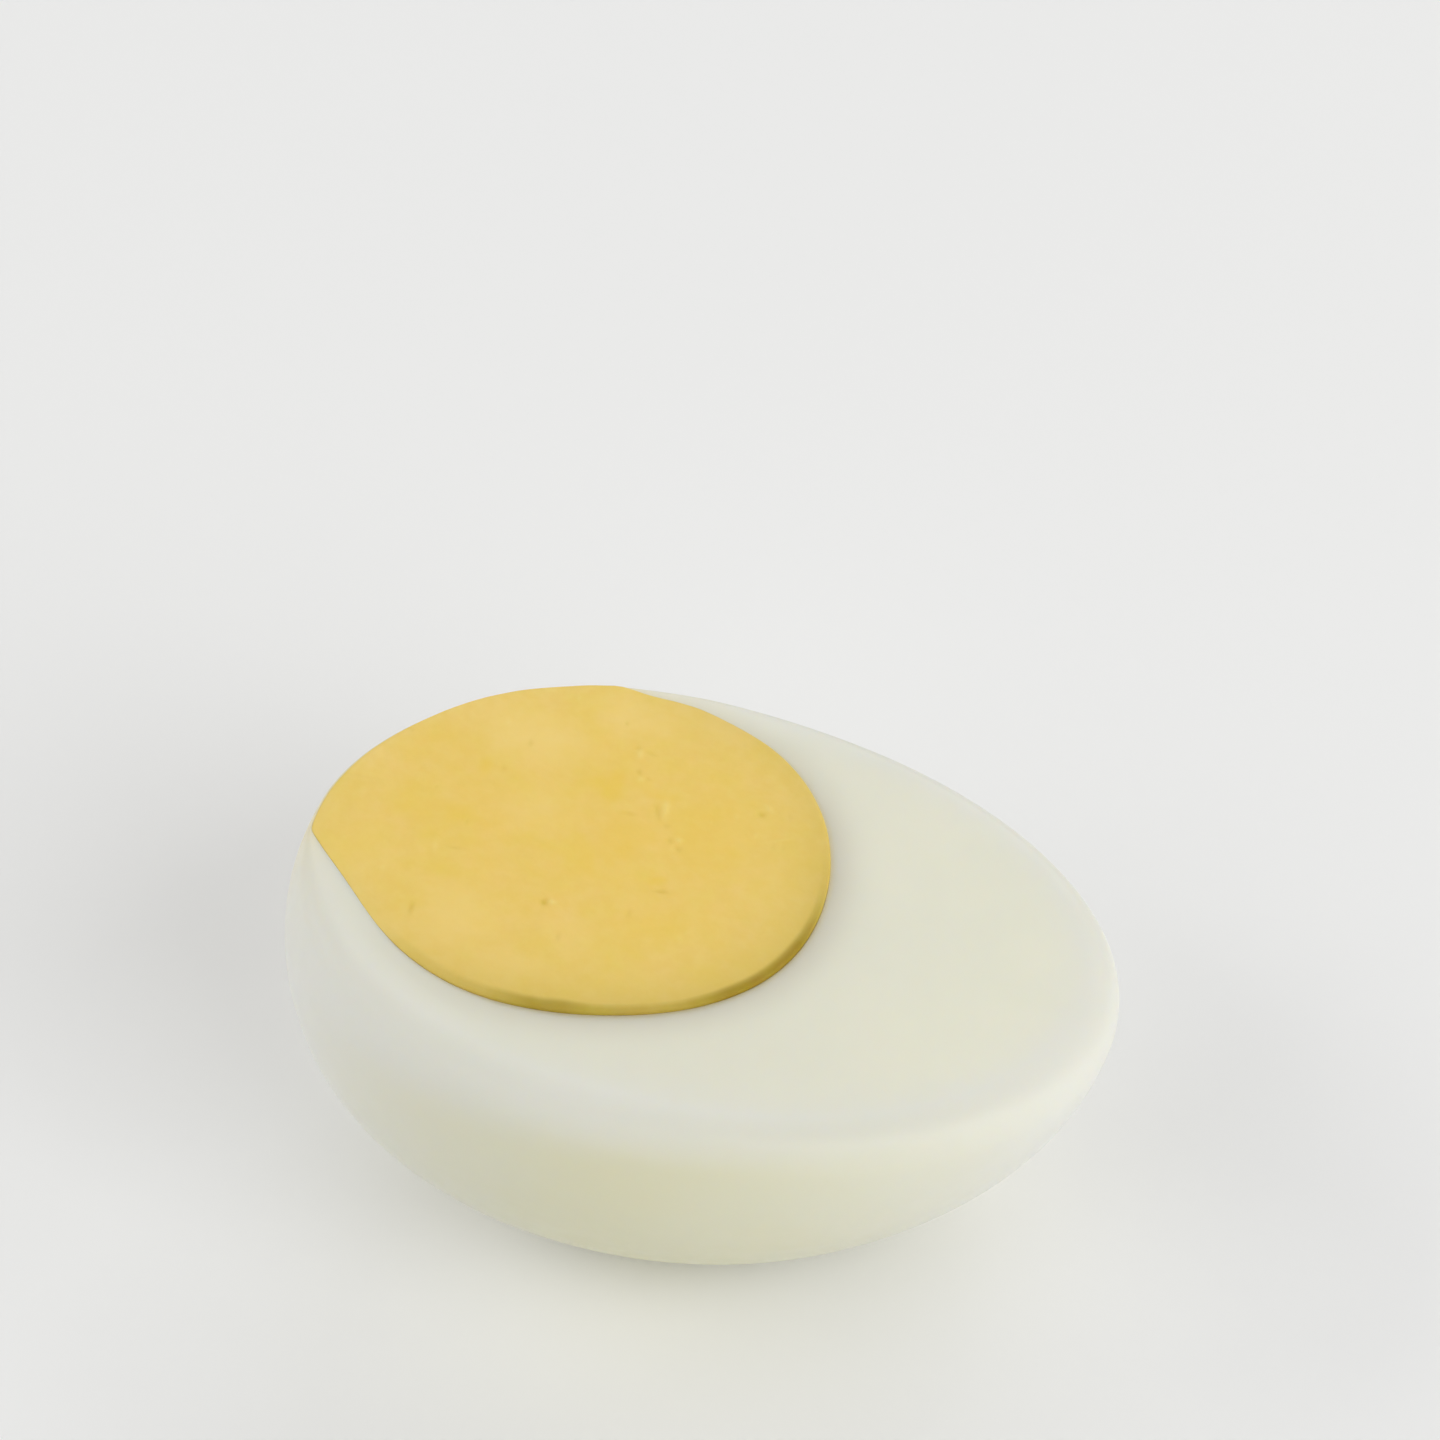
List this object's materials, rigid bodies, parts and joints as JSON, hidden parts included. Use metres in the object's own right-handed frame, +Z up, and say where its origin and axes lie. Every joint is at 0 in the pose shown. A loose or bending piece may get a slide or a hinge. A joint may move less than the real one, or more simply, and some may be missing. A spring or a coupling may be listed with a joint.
{
  "type": "half a hard boiled egg",
  "caption": "Peeled hard boiled egg cut lengthwise, lying on its round back with the cut face up, the yolk off to one side and slightly proud of the white.",
  "frame": {"origin": "on the surface the half lies on, below the middle of its footprint's box", "axes": "+X along the egg's long axis towards its narrow end, +Z up out of the cut face, which slopes down a little towards +X; the yolk lies off centre towards -X and +Y"},
  "size_m": [0.0566, 0.0426, 0.0281],
  "materials": {
    "egg_white": "moist satin, slightly translucent",
    "yolk": "dry, fine grained and matte"
  },
  "bodies": {
    "root": {"egg_white": "egg_white", "yolk": "yolk"}
  },
  "joints": []
}
